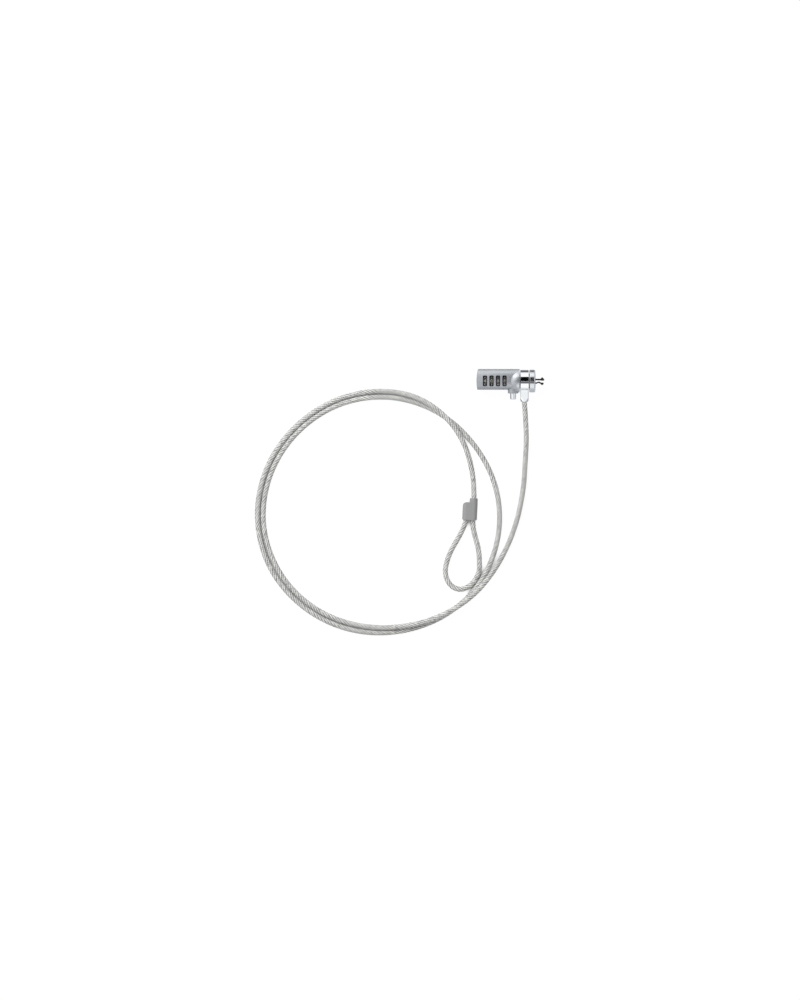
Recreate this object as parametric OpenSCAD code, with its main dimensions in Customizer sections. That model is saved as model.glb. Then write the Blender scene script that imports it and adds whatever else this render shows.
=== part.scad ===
// Laptop cable lock: a four-dial combination head that grips a laptop's security slot with two
// spreading claws, on a swivel ring that carries a looped steel cable.
//
// The lock lies on its flat underside. +X runs from the end cap to the claws and +Z is up.
// The origin is under the middle of the lock, on the surface that it lies on.
// Pieces of the lock are drawn in the lock's own frame first: x counts from the tip of the end cap,
// and y and z count from the axis that dials, spindle, ring and claws share.

/* [Housing] */
// Distance from the dial axis to the broad side, where the detent spring sits
broad_side = 10.2; // [10:0.1:12]
// Wall of the housing on the narrow side, where it is thinnest beside the dials
side_wall = 0.9; // [0.6:0.1:2]
// Height of the crowned top over the dial axis
crown_h = 7; // [6.8:0.1:8.5]
// Roundness of the housing's section: 2 is an ellipse, 4 is nearly square
section_power = 3; // [2.7:0.1:4]
// Straight collar between the domed shoulder and the groove
collar_l = 0.9; // [0.6:0.1:2]
// Rounding of the collar's rim
collar_round = 0.3; // [0.1:0.1:0.5]
// Radius of the crown on the outer face of the end cap
end_crown_r = 38; // [30:1:80]
// Thickness of the end cap outside the housing
cap_t = 3; // [2.5:0.1:4]
// Depth of the end cap's spigot in the housing
cap_spigot = 1.4; // [1.2:0.1:2]

/* [Dials] */
// Distance from one dial to the next
dial_pitch = 5.45; // [5.3:0.05:5.8]
// Width of a dial
dial_w = 4.6; // [4.2:0.1:4.7]
// Radius of a dial over its ten corners
dial_r = 6.2; // [6:0.05:6.3]
// Radius of the finger grooves between two digits
finger_groove = 0.45; // [0.3:0.05:0.6]
// Width of a window along the lock
window_w = 3.7; // [3:0.1:4.2]
// Length of a window across the lock
window_l = 9.1; // [7:0.1:9.6]
// Corner radius of a window
window_corner = 1.1; // [0.5:0.1:1.4]
// Thickness of the fixed washers between the dials
spacer_t = 0.65; // [0.4:0.05:0.75]
// Thickness of the detent spring's strip
detent_t = 0.3; // [0.2:0.05:0.4]
// Width of the detent spring's strip
detent_w = 2.4; // [1.6:0.1:3]

/* [Code sleeves and spindle] */
// Outer radius of a code sleeve
sleeve_r = 4.2; // [4.1:0.05:4.3]
// Wall of a code sleeve around its two chambers
sleeve_wall = 0.8; // [0.6:0.05:0.9]
// Thickness of the gate web in the middle of a sleeve
web_t = 0.9; // [0.7:0.05:1.1]
// Thickness of a spindle fin along the lock
fin_t = 0.9; // [0.7:0.05:1.1]
// Width of a spindle fin
fin_w = 1.4; // [1:0.1:2]
// Radius of the rib that keys a sleeve to its dial
rib_r = 0.5; // [0.4:0.05:0.6]
// Radius of the spindle
spindle_r = 1.8; // [1.6:0.05:2]
// Thickness of the spindle's cam block
cam_t = 2.4; // [2:0.1:2.6]
// Room between the last code sleeve and the cam block
cam_room = 0.4; // [0.3:0.1:1]
// Metal left around the cam block's slot
cam_edge = 0.85; // [0.7:0.05:1]
// Radius of the return spring's wire
spring_wire_r = 0.25; // [0.2:0.02:0.3]
// Turns of the return spring
spring_turns = 4; // [3:0.5:4]
// Room for the return spring behind the cam block
spring_room = 4.8; // [4.6:0.1:5.2]

/* [Push button] */
// Diameter of the push button
button_d = 5; // [4.6:0.1:5.2]
// Length of the button that stands out of its boss
button_out = 5; // [3.5:0.1:6]
// Travel of the button, and of the spindle that its cam drives
button_travel = 2.5; // [2.2:0.1:2.6]
// Room between the button and the spigot of the head
spigot_room = 0.3; // [0.2:0.05:0.6]
// Diameter of the boss around the button
boss_d = 8.8; // [7.6:0.1:9.6]
// Distance from the dial axis to the end of the boss
boss_out = 10.4; // [10:0.1:11.4]
// Chamfer on the rims of boss and button
rim = 0.4; // [0.2:0.1:0.6]
// Radius of the pin that couples button and spindle
cam_pin_r = 0.75; // [0.6:0.05:0.8]
// Depth of the reset screw's head in the end cap
screw_head_t = 1.2; // [1:0.1:1.4]
// Radius of the reset screw's head
screw_head_r = 2.2; // [2:0.1:2.8]
// Radius of the reset screw's shank
screw_r = 1.4; // [1.2:0.1:1.6]
// Radius of the roll pins that hold the cap and the head
roll_pin_r = 0.72; // [0.6:0.02:0.8]

/* [Head and claws] */
// Radius of the domed shoulder and of the end disc
head_r = 9.5; // [9.3:0.1:11]
// Thickness of the end disc
disc_t = 5; // [4:0.1:6]
// Rounding of the end disc's front rim
disc_round = 1.2; // [0.6:0.1:2]
// Rounding of the end disc's rear rim
rear_round = 0.6; // [0.2:0.1:1]
// Radius of the neck that the ring turns on
neck_r = 6; // [5.9:0.1:6.5]
// Radius of the head's spigot in the housing
spigot_r = 5.4; // [5.2:0.05:5.6]
// Length of the head's spigot in the housing
spigot_l = 2.6; // [2.4:0.1:2.65]
// Reach of the claws in front of the end disc
claw_reach = 7.6; // [7:0.1:9]
// Thickness of the claws, which has to pass a 3 mm slot
claw_t = 2.6; // [2:0.1:2.8]
// Half the gap between the claws where they leave the head
claw_gap = 0.55; // [0.45:0.05:0.6]
// Width of a claw's shank
claw_shank = 1.35; // [1.2:0.05:1.4]
// Distance of a hook's point from the axis
hook_out = 3.1; // [2.9:0.1:3.3]
// Radius of a claw's eye on its pivot
eye_r = 1.3; // [1.2:0.05:1.35]
// Radius of the pivot pins
pivot_r = 0.74; // [0.6:0.02:0.76]
// Half the thickness of the spreader between the claws
spreader_h = 0.85; // [0.7:0.05:0.9]

/* [Swivel ring] */
// Width of the groove between shoulder and end disc
groove_w = 8.2; // [8:0.1:9]
// Width of the ring along the lock
ring_w = 7; // [6:0.1:7.4]
// Step from the shoulder down to the ring
ring_step = 0.1; // [0.05:0.05:0.3]
// Distance from the ring's axis to the mouth of its lug
lug_reach = 17.4; // [16.4:0.1:18.4]
// Height of the lug at the ring's axis, from where its two flats run together
lug_h = 7.2; // [6.8:0.1:7.6]
// Height of the lug at its mouth
mouth_h = 5.8; // [5.6:0.1:6.2]
// Radius of the lug's turned body, which its flats cut
lug_r = 4.7; // [4.4:0.1:5]
// Radius of the lug's mouth, where the cable leaves it
mouth_r = 3; // [2.9:0.1:3.4]
// Length of the cone between the lug's body and its mouth
lug_cone_l = 3.5; // [2.5:0.1:4.5]

/* [Cable] */
// Diameter of the coated cable
cable_d = 4.4; // [4:0.1:4.4]
// Wall of the stop sleeve on the cable's end
stop_wall = 0.5; // [0.4:0.05:0.6]
// Length of the stop sleeve
stop_l = 2.8; // [2:0.1:2.9]
// Length of the moulded cover without its neck
cover_l = 14.9; // [14:0.1:18]
// Thickness of the cover's wall above and below the crimp
cover_wall = 0.6; // [0.5:0.05:1]
// Thickness of the cover's wall beside the crimp
cover_side = 0.7; // [0.6:0.05:1]
// Length of the cover past each end of the crimp
cover_end = 1.95; // [1.6:0.05:3]
// Radius of the cover's corners at the loop
cover_corner = 1; // [0.6:0.1:1.6]
// Radius of the cover's shoulder beside its neck
cover_shoulder = 3.2; // [2:0.1:3.4]
// Length of the cover's neck
cover_neck_l = 3.5; // [2:0.1:4.4]
// Wall of the aluminium crimp round the cable
crimp_wall = 0.5; // [0.4:0.05:0.6]

/* [Fits] */
// Radial clearance of parts that turn or slide in each other
running = 0.08; // [0.05:0.01:0.1]
// Radial clearance of parts that are fixed in each other
fixed = 0.03; // [0.02:0.01:0.05]
// Clearance beside dials, spacers and claws
side_gap = 0.1; // [0.08:0.01:0.15]
// Radial room around the dials
dial_room = 0.2; // [0.15:0.01:0.25]

/* [Hidden] */
$fn = 72;

eps = 0.01;
big = 60;
digits = 10;
dial_count = 4;

// Stations along the lock
pack_x = cap_t + cap_spigot;
pack_end = pack_x + dial_count * dial_pitch;
cam_slot_r = cam_pin_r + side_gap;
cam_x = pack_end + cam_room;
button_x = cam_x + cam_edge + cam_slot_r + button_travel;
housing_l = button_x + button_d / 2 + spigot_room + spigot_l;
spigot_x = housing_l - spigot_l;
dome_x = housing_l - collar_l;
ring_x = housing_l + (groove_w - ring_w) / 2;
disc_x = housing_l + groove_w;
front_x = disc_x + disc_t;
lock_l = front_x + claw_reach;
function dial_x(i) = pack_x + (i + 0.5) * dial_pitch;

// Place of the lock's axis over the surface that it lies on
axis_at = [-lock_l / 2, (lug_reach - broad_side) / 2, head_r];

// Bores in the housing
dial_bore = dial_r + dial_room;
chamber_r = spigot_r + fixed;

// Section of the housing, about the dial axis
housing_w = broad_side + dial_bore + side_wall;
section_y = broad_side - housing_w / 2;
section_z = (crown_h - head_r) / 2;
section_rise = crown_h - section_z;
underside_cut = 0.45;
section_drop = head_r + section_z + underside_cut;
section_steps = 96;

// Keyway and pocket in the housing's bore
keyway_w = 1.5;
keyway_h = 0.75;
detent_nose = dial_r + side_gap;
detent_wave = 1.7;
detent_pocket = detent_nose + detent_wave + detent_t + side_gap;
window_top = crown_h + 2;

// Spindle, gates and cam
recess_r = sleeve_r - sleeve_wall;
fin_tip = recess_r - 0.25;
fin_shift = button_travel / 2;
spindle_x = pack_x + 0.4;
cam_h = button_travel / 2 + cam_slot_r + cam_edge;
cam_end = button_x + cam_slot_r + cam_edge;
cam_bore = norm([cam_h, cam_t / 2]) + side_gap;
spring_end = cam_end + spring_room;
fork_gap = cam_t + 2 * side_gap + 0.1;
fork_base = cam_h + button_travel + side_gap;
fork_half = 1.5;

// Claws and spreader: the spreader's taper meets the ramp inside the claws
spring_stop = 0.4;
ramp_reach = 4;
ramp_l = 2;
slot_x = spring_end + spring_stop;
pivot_x = slot_x + eye_r + side_gap;
pivot_y = eye_r + spreader_h + side_gap;
slot_half = pivot_y + eye_r + side_gap;
slot_t = claw_t + 4 * side_gap;
ramp_x = pivot_x + ramp_reach;
ramp_end = ramp_x + ramp_l;
rear_gap = spreader_h + side_gap;
spreader_taper = 2.6;
spreader_tip = 0.25;
spreader_end = ramp_end + 0.1;
spreader_seat = 0.7;
shank_out = claw_gap + claw_shank;

// Roll pins sit on the hidden underside, this far round from straight down
pin_turn = 38;
pin_cap_x = cap_t + cap_spigot / 2;
pin_head_x = housing_l - spigot_l / 2;
pin_sink = 0.5;
pin_bite = 1.4;
pin_reach = head_r - pin_sink;
pin_l = pin_reach - spigot_r + pin_bite;

// Cable
cable_r = cable_d / 2;
cable_sides = 10;
ring_spacing = 12;
ring_r = head_r - ring_step;
stop_r = cable_r + stop_wall;
stop_in = neck_r + running + 0.4;
sleeve_lean = atan(1 / 20);
channel_gap = 5.6;
crimp_t = cable_d + 2 * crimp_wall;
crimp_w = crimp_t + channel_gap;
crimp_l = cover_l - 2 * cover_end;
cover_t = crimp_t + 2 * cover_wall;
cover_w = crimp_w + 2 * cover_side;
crimp_z = cover_t / 2;

// Centre line of the cable, from the stop in the ring's lug, round the coil and through the crimp
ROUTE = [
    [11.8, -3, 9.5], [11.8, -14, 9.5], [12.6, -26, 9], [13.4, -44, 6.6], [12.6, -64, 4],
    [10.8, -87.2, 2.4], [5.1, -114.7, 2.2], [-5.1, -140.5, 2.6], [-15.3, -157.6, 4.4],
    [-27.5, -172.3, 6.2], [-45.4, -186.4, 7], [-67.5, -196.9, 6.6], [-92.4, -202.5, 5.2],
    [-122.6, -202.3, 2.9], [-159.9, -189.7, 2.2], [-191.7, -160.1, 2.2], [-207, -118.8, 2.2],
    [-201.5, -75.1, 2.2], [-177.8, -38.5, 2.2], [-141.7, -15.4, 2.2], [-98, -10.3, 2.2],
    [-60.4, -22.9, 2.2], [-30.6, -49.7, 2.2], [-11.5, -88.7, 2.2], [-9.5, -121.7, 2.2],
    [-16.1, -147.5, 2.2], [-27.9, -168.9, 2.2], [-54.7, -192.8, 2.2], [-92.7, -206.45, 2.2],
    [-135.9, -204.6, 2.2], [-175, -185, 2.2], [-202.7, -151, 2.2], [-212.5, -108.7, 2.2],
    [-202.8, -65.6, 2.2], [-176.7, -31.2, 2.2], [-138.8, -9.5, 2.2], [-103.6, -5, 2.4], [-80.2, -9.6, 4.6],
    [-61.8, -20.1, 6.7], [-48.6, -33.2, 6.8], [-38.5, -50.1, 4.6], [-31.9, -73.6, 3.3],
    [-30.46, -93.2, crimp_z], [-31.46, -113.2, crimp_z], [-31, -120.2, 2.7], [-29.2, -127.9, 2.2],
    [-26.9, -137, 2.2], [-25.9, -147.8, 2.2], [-26.4, -156.6, 2.2], [-29.3, -163, 2.2],
    [-34.6, -168.5, 2.2], [-41.4, -171.2, 2.2], [-47.6, -169.6, 2.2], [-52.2, -164.8, 2.2],
    [-54.5, -157, 2.2], [-53.4, -148.8, 2.2], [-49.6, -138.6, 2.2], [-44.2, -129, 2.2], [-39.6, -120, 2.7],
    [-37.05, -112.92, crimp_z], [-36.45, -100.94, crimp_z]
];
last = len(ROUTE) - 1;
crimp_in = 42;

function chord(i) = norm(ROUTE[i + 1] - ROUTE[i]);
function slope(i) = (ROUTE[i + 1] - ROUTE[i]) / chord(i);
function tangent(i) =
    i == 0 ? slope(0)
    : i == last ? slope(last - 1)
    : unit(slope(i - 1) * chord(i) + slope(i) * chord(i - 1));
function smooth(i, u) =
    (2 * u ^ 3 - 3 * u ^ 2 + 1) * ROUTE[i]
    + (u ^ 3 - 2 * u ^ 2 + u) * chord(i) * tangent(i)
    + (3 * u ^ 2 - 2 * u ^ 3) * ROUTE[i + 1]
    + (u ^ 3 - u ^ 2) * chord(i) * tangent(i + 1);
function on_floor(p) = [p.x, p.y, max(p.z, cable_r)];
function unit(v) = v / norm(v);

// ---- Helpers -------------------------------------------------------------------------------

// Moves a piece from the lock's own frame to the part's frame.
module in_lock() {
    translate(axis_at) children();
}

// A round bar along X, from x = at to at + l.
module bar(r, l, at = 0) {
    translate([at, 0, 0]) rotate([0, 90, 0]) cylinder(r = r, h = l);
}

// A drawing turned about the axis, from x = at: its x is the distance from the axis and its y runs along the lock.
module turned(at) {
    translate([at, 0, 0]) rotate([0, 90, 0]) rotate_extrude() children();
}

// Half the section of a disc with round rims.
module disc_profile(r, l, rear, front) {
    square([r - max(rear, front), l]);
    square([r - rear, l - front]);
    translate([0, rear]) square([r, l - rear - front]);
    translate([0, rear]) square([r - front, l - rear]);
    if (rear > 0) translate([r - rear, rear]) circle(r = rear);
    translate([r - front, l - front]) circle(r = front);
}

// A block centred on the axis across the lock, from x = at to at + l.
module block(l, w, h, at = 0) {
    translate([at, -w / 2, -h / 2]) cube([l, w, h]);
}

// A bar along -Y, from y = -near to -far.
module spoke(r, near, far, x) {
    translate([x, -near, 0]) rotate([90, 0, 0]) cylinder(r = r, h = far - near);
}

// A bar along -Y like a spoke, whose last stretch is a cone down to the radius tip.
module coned_spoke(r, tip, cone_l, near, far, x) {
    spoke(r, near, far - cone_l, x);
    translate([x, cone_l - far, 0]) rotate([90, 0, 0]) cylinder(r1 = r, r2 = tip, h = cone_l);
}

// A flat piece of the given thickness, drawn in x and y and centred on the axis in z.
module plate(t) {
    translate([0, 0, -t / 2]) linear_extrude(t) children();
}

function section_point(a) = [
    section_y + housing_w / 2 * sign(cos(a)) * abs(cos(a)) ^ (2 / section_power),
    section_z + (sin(a) > 0 ? section_rise : section_drop) * sign(sin(a)) * abs(sin(a)) ^ (2 / section_power)
];

// The housing's rounded section with its flat underside, from x = at to at + l.
module housing_bar(l, at) {
    intersection() {
        translate([at, 0, 0]) rotate([90, 0, 90]) linear_extrude(l)
            polygon([for (k = [0:section_steps - 1]) section_point((k + 0.5) * 360 / section_steps)]);
        translate([at - eps, -big / 2, -head_r]) cube([l + 2 * eps, big, big]);
    }
}

// Places a child at each roll pin: two in the end cap's spigot and two in the head's.
module at_roll_pins() {
    for (x = [pin_cap_x, pin_head_x], turn = [-pin_turn, pin_turn])
        translate([x, 0, 0]) rotate([turn, 0, 0]) children();
}

// ---- Housing and what closes it ------------------------------------------------------------

module window_cut(i) {
    inner_w = window_w - 2 * window_corner;
    inner_l = window_l - 2 * window_corner;
    translate([dial_x(i), 0, 0]) {
        block(window_w, inner_l, 2 * window_top, -window_w / 2);
        block(inner_w, window_l, 2 * window_top, -inner_w / 2);
        for (sx = [-1, 1], sy = [-1, 1])
            translate([sx * inner_w / 2, sy * inner_l / 2, -window_top])
                cylinder(r = window_corner, h = 2 * window_top, $fn = 32);
    }
}

module housing() {
    color("silver") in_lock() difference() {
        union() {
            housing_bar(housing_l - cap_t, cap_t);
            turned(dome_x) {
                intersection() {
                    circle(r = head_r);
                    translate([0, -head_r]) square(head_r);
                }
                disc_profile(head_r, collar_l, 0, collar_round);
            }
            coned_spoke(boss_d / 2, boss_d / 2 - rim, rim, 0, boss_out, button_x);
        }
        bar(dial_bore, pack_end - cap_t + eps, cap_t - eps);
        bar(chamber_r, housing_l - pack_end + 2 * eps, pack_end - eps);
        intersection() {
            for (i = [0:dial_count - 1]) window_cut(i);
            translate([0, -big / 2, 0]) cube([housing_l, big, big]);
        }
        translate([pack_x, 0, -detent_w / 2 - side_gap])
            cube([pack_end - pack_x, detent_pocket, detent_w + 2 * side_gap]);
        translate([cap_t - eps, -keyway_w / 2, -dial_bore - keyway_h])
            cube([pack_end - cap_t, keyway_w, dial_bore]);
        spoke(button_d / 2 + running, 0, boss_out + eps, button_x);
        at_roll_pins() translate([0, 0, -pin_reach - 2]) cylinder(r = roll_pin_r + fixed, h = pin_reach + 2);
    }
}

module end_cap() {
    color("silver") in_lock() difference() {
        union() {
            intersection() {
                housing_bar(cap_t, 0);
                translate([end_crown_r, 0, 0]) sphere(r = end_crown_r, $fn = 200);
            }
            bar(dial_bore - fixed, cap_spigot, cap_t);
        }
        bar(screw_r + running, pack_x + 2 * eps, -eps);
        bar(screw_head_r + running, screw_head_t + eps, -eps);
        at_roll_pins() translate([0, 0, -pin_reach]) cylinder(r = roll_pin_r + fixed, h = pin_l + fixed);
    }
}

module roll_pins() {
    color("gray") in_lock() at_roll_pins() translate([0, 0, -pin_reach]) cylinder(r = roll_pin_r, h = pin_l);
}

module reset_screw() {
    slot_w = 0.7;
    slot_d = 0.6;
    color("silver") in_lock() difference() {
        union() {
            bar(screw_head_r, screw_head_t - 0.15, 0.15);
            bar(screw_r, pack_x - screw_head_t, screw_head_t - eps);
        }
        block(slot_d + 0.15, 2 * screw_head_r + 1, slot_w);
    }
}

// ---- Dials and code sleeves ----------------------------------------------------------------

module dial(i) {
    corner = 360 / digits;
    color("dimgray") in_lock() translate([dial_x(i) - dial_w / 2, 0, 0]) difference() {
        rotate([corner / 2, 0, 0]) bar(dial_r, dial_w, $fn = digits);
        bar(sleeve_r + fixed, dial_w + 2 * eps, -eps);
        for (k = [0:digits - 1]) rotate([k * corner, 0, 0]) {
            translate([0, 0, -sleeve_r]) bar(rib_r + running, dial_w + 2 * eps, -eps, $fn = 24);
            rotate([corner / 2, 0, 0]) translate([0, 0, dial_r]) bar(finger_groove, dial_w + 2 * eps, -eps, $fn = 24);
        }
    }
}

module sleeve(i) {
    l = dial_pitch - 2 * side_gap;
    gate_w = fin_w + 3 * side_gap;
    color("goldenrod") in_lock() translate([dial_x(i), 0, 0]) difference() {
        union() {
            bar(sleeve_r, l, -l / 2);
            translate([0, 0, -sleeve_r]) bar(rib_r, dial_w, -dial_w / 2, $fn = 24);
        }
        bar(recess_r, l / 2 - web_t / 2 + eps, -l / 2 - eps);
        bar(recess_r, l / 2 - web_t / 2 + eps, web_t / 2);
        bar(spindle_r + running, web_t + 2 * eps, -web_t / 2 - eps);
        translate([-web_t, -gate_w / 2, 0]) cube([2 * web_t, gate_w, recess_r - side_gap]);
    }
}

module dial_spacers() {
    hole = sleeve_r + side_gap;
    color("lightgray") in_lock() for (i = [1:dial_count - 1])
        translate([pack_x + i * dial_pitch - spacer_t / 2, 0, 0]) difference() {
            union() {
                bar(dial_bore - running, spacer_t);
                translate([0, -keyway_w / 2 + running, -dial_bore - keyway_h + running])
                    cube([spacer_t, keyway_w - 2 * running, dial_bore]);
            }
            bar(hole, spacer_t + 2 * eps, -eps);
        }
}

function detent_y(x) = detent_nose + detent_wave * (1 - cos(360 * (x - dial_x(0)) / dial_pitch)) / 2;

module detent_spring() {
    steps = 12 * dial_count;
    x0 = pack_x + side_gap;
    dx = (pack_end - pack_x - 2 * side_gap) / steps;
    inner = [for (k = [0:steps]) [x0 + k * dx, detent_y(x0 + k * dx)]];
    outer = [for (k = [steps:-1:0]) [x0 + k * dx, detent_y(x0 + k * dx) + detent_t]];
    color("steelblue") in_lock() plate(detent_w) polygon(concat(inner, outer));
}

// ---- Spindle, cam and button ---------------------------------------------------------------

module spindle() {
    color("darkkhaki") in_lock() difference() {
        union() {
            bar(spindle_r, cam_x - spindle_x + eps, spindle_x);
            for (i = [0:dial_count - 1])
                translate([dial_x(i) - fin_shift - fin_t / 2, -fin_w / 2, 0]) cube([fin_t, fin_w, fin_tip]);
            block(cam_end - cam_x, 2 * cam_h, cam_t, cam_x);
        }
        plate(cam_t + 1) union() {
            for (t = [0, button_travel]) translate([button_x - t, t - button_travel / 2]) circle(r = cam_slot_r);
            translate([button_x - button_travel / 2, 0]) rotate(45)
                square([2 * cam_slot_r, button_travel * sqrt(2)], center = true);
        }
        block(spreader_seat + eps, 2 * (spreader_h + fixed), cam_t + 1, cam_end - spreader_seat);
    }
}

module spreader() {
    x0 = cam_end - spreader_seat;
    x1 = spreader_end - spreader_taper;
    color("slategray") in_lock() plate(cam_t) polygon([
        [x0, -spreader_h], [x1, -spreader_h], [spreader_end, -spreader_tip],
        [spreader_end, spreader_tip], [x1, spreader_h], [x0, spreader_h]
    ]);
}

module return_spring() {
    wire = spring_wire_r;
    mean_r = cam_bore - side_gap - 2 * wire;
    rise = spring_end - cam_end - 2 * wire - 2 * side_gap;
    per_turn = 12;
    sides = 6;
    count = spring_turns * per_turn;
    function turn_at(k) = [cam_end + wire + side_gap + rise * k / count, 360 * k / per_turn];
    function wire_point(k, j) =
        let (at = turn_at(k), r = mean_r + wire * cos(360 * j / sides))
        [at[0] + wire * sin(360 * j / sides), r * cos(at[1]), r * sin(at[1])];
    color("silver") in_lock() polyhedron(
        points = [for (k = [0:count], j = [0:sides - 1]) wire_point(k, j)],
        faces = concat(
            [[for (j = [0:sides - 1]) j]],
            [for (k = [0:count - 1], j = [0:sides - 1])
                [k * sides + j, (k + 1) * sides + j, (k + 1) * sides + (j + 1) % sides, k * sides + (j + 1) % sides]],
            [[for (j = [sides - 1:-1:0]) count * sides + j]]
        )
    );
}

module push_button() {
    pin_y = -button_travel / 2;
    tine_end = pin_y + cam_pin_r + 0.6;
    color("gainsboro") in_lock() difference() {
        union() {
            coned_spoke(button_d / 2, button_d / 2 - rim, rim, fork_base, boss_out + button_out, button_x);
            intersection() {
                spoke(button_d / 2, -tine_end, fork_base + eps, button_x);
                translate([button_x - fork_half, -big / 2, -big / 2]) cube([2 * fork_half, big, big]);
            }
        }
        translate([button_x - button_d, -fork_base, -fork_gap / 2]) cube([2 * button_d, fork_base + big, fork_gap]);
        translate([button_x, pin_y, -button_d]) cylinder(r = cam_pin_r + fixed, h = 2 * button_d);
    }
}

module cam_pin() {
    l = button_d - 0.4;
    color("gray") in_lock() translate([button_x, -button_travel / 2, -l / 2]) cylinder(r = cam_pin_r, h = l);
}

// ---- Head and claws ------------------------------------------------------------------------

module head() {
    color("lightsteelblue") in_lock() difference() {
        union() {
            bar(spigot_r, spigot_l + eps, spigot_x);
            bar(neck_r, groove_w + eps, housing_l);
            turned(disc_x) disc_profile(head_r, disc_t, rear_round, disc_round);
        }
        bar(cam_bore, spring_end - spigot_x + eps, spigot_x - eps);
        block(slot_x - spring_end + 2 * eps, 2 * (spreader_h + side_gap), slot_t, spring_end - eps);
        block(front_x - slot_x + eps, 2 * slot_half, slot_t, slot_x);
        for (s = [-1, 1]) translate([pivot_x, s * pivot_y, -neck_r]) cylinder(r = pivot_r + fixed, h = 2 * neck_r);
        at_roll_pins() translate([0, 0, -pin_reach]) cylinder(r = roll_pin_r + fixed, h = pin_l + fixed);
    }
}

// Points of a claw's rear half, shared by both claws: eye to ramp, with y away from the axis.
function claw_rear() = [
    [pivot_x, pivot_y + eye_r], [pivot_x, rear_gap], [ramp_x, rear_gap], [ramp_end, claw_gap]
];

module claw_eye() {
    difference() {
        children();
        translate([pivot_x, pivot_y]) circle(r = pivot_r + running, $fn = 36);
    }
}

module claw_upper() {
    color("dimgray") in_lock() plate(claw_t) claw_eye() union() {
        translate([pivot_x, pivot_y]) circle(r = eye_r);
        polygon(concat(claw_rear(), [
            [lock_l - 3.2, claw_gap], [lock_l - 2.4, claw_gap - 0.25], [lock_l - 0.5, claw_gap - 0.25],
            [lock_l, claw_gap + 0.2], [lock_l, claw_gap + 0.8], [lock_l - 0.7, hook_out - 0.9],
            [lock_l - 1.6, hook_out], [lock_l - 2.3, hook_out], [lock_l - 3.1, shank_out],
            [ramp_x + 1, shank_out]
        ]));
    }
}

module claw_lower() {
    out = hook_out + 0.2;
    color("dimgray") in_lock() mirror([0, 1, 0]) plate(claw_t) claw_eye() union() {
        translate([pivot_x, pivot_y]) circle(r = eye_r);
        polygon(concat(claw_rear(), [
            [front_x - 0.6, claw_gap], [front_x + 0.5, claw_gap + 0.65], [front_x + 2.6, claw_gap - 0.1],
            [front_x + 3.6, claw_gap - 0.05], [lock_l - 2.8, claw_gap + 0.75], [lock_l - 1, claw_gap + 0.75],
            [lock_l - 0.6, claw_gap + 1.2], [lock_l - 0.6, out - 0.8], [lock_l - 1.4, out], [lock_l - 2.4, out],
            [lock_l - 3.1, out - 0.8], [front_x + 3.8, claw_gap + 1.5], [front_x + 2.9, claw_gap + 1.1],
            [front_x + 2.2, claw_gap + 1.15], [front_x + 0.9, claw_gap + 1.85], [front_x - 0.9, claw_gap + 1.85],
            [front_x - 3.4, shank_out], [ramp_x + 1, shank_out]
        ]));
    }
}

module claw_pins() {
    l = 2 * sqrt(neck_r ^ 2 - (pivot_y + pivot_r) ^ 2);
    color("gray") in_lock() for (s = [-1, 1])
        translate([pivot_x, s * pivot_y, -l / 2]) cylinder(r = pivot_r, h = l);
}

// ---- Swivel ring and cable -----------------------------------------------------------------

module swivel_ring() {
    centre = ring_x + ring_w / 2;
    color("whitesmoke") in_lock() difference() {
        union() {
            bar(ring_r, ring_w, ring_x);
            intersection() {
                coned_spoke(lug_r, mouth_r, lug_cone_l, 0, lug_reach, centre);
                translate([ring_x, 0, 0]) rotate([90, 0, 90]) linear_extrude(ring_w) polygon([
                    [0, -lug_h / 2], [0, lug_h / 2], [-lug_reach, mouth_h / 2], [-lug_reach, -mouth_h / 2]
                ]);
            }
        }
        bar(neck_r + running, ring_w + 2 * eps, ring_x - eps);
        spoke(stop_r + fixed, 0, stop_in + stop_l, centre);
        spoke(cable_r + fixed, 0, lug_reach + eps, centre);
    }
}

module cable_stop() {
    centre = ring_x + ring_w / 2;
    color("silver") in_lock() difference() {
        spoke(stop_r, stop_in, stop_in + stop_l, centre);
        spoke(cable_r, 0, lug_reach, centre);
    }
}

module cable() {
    centres = [
        for (i = [0:last - 1]) let (n = ceil(chord(i) / ring_spacing)) for (j = [0:n - 1]) on_floor(smooth(i, j / n)),
        ROUTE[last]
    ];
    count = len(centres);
    function heading(k) = unit(centres[min(k + 1, count - 1)] - centres[max(k - 1, 0)]);
    function side(k) = unit(cross([0, 0, 1], heading(k)));
    function rim(k, a) = centres[k] + cable_r * (cos(a) * side(k) + sin(a) * cross(heading(k), side(k)));
    color("gainsboro") polyhedron(
        points = [for (k = [0:count - 1], j = [0:cable_sides - 1]) rim(k, 360 * j / cable_sides)],
        faces = concat(
            [[for (j = [0:cable_sides - 1]) j]],
            [for (k = [0:count - 2], j = [0:cable_sides - 1])
                [k * cable_sides + j, (k + 1) * cable_sides + j,
                 (k + 1) * cable_sides + (j + 1) % cable_sides, k * cable_sides + (j + 1) % cable_sides]],
            [[for (j = [cable_sides - 1:-1:0]) (count - 1) * cable_sides + j]]
        )
    );
}

// Moves a piece of the crimp to the cable: y runs up the two channels and x = 0 is midway between them.
module at_crimp() {
    translate(ROUTE[crimp_in + 1]) rotate([0, 0, -sleeve_lean]) translate([-channel_gap / 2, 0, 0]) children();
}

// A bar along +Y with round sides, from y = at to at + l.
module round_sided(w, t, l, at) {
    translate([-(w - t) / 2, at, -t / 2]) cube([w - t, l, t]);
    for (s = [-1, 1]) translate([s * (w - t) / 2, at, 0]) rotate([-90, 0, 0]) cylinder(r = t / 2, h = l);
}

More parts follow.
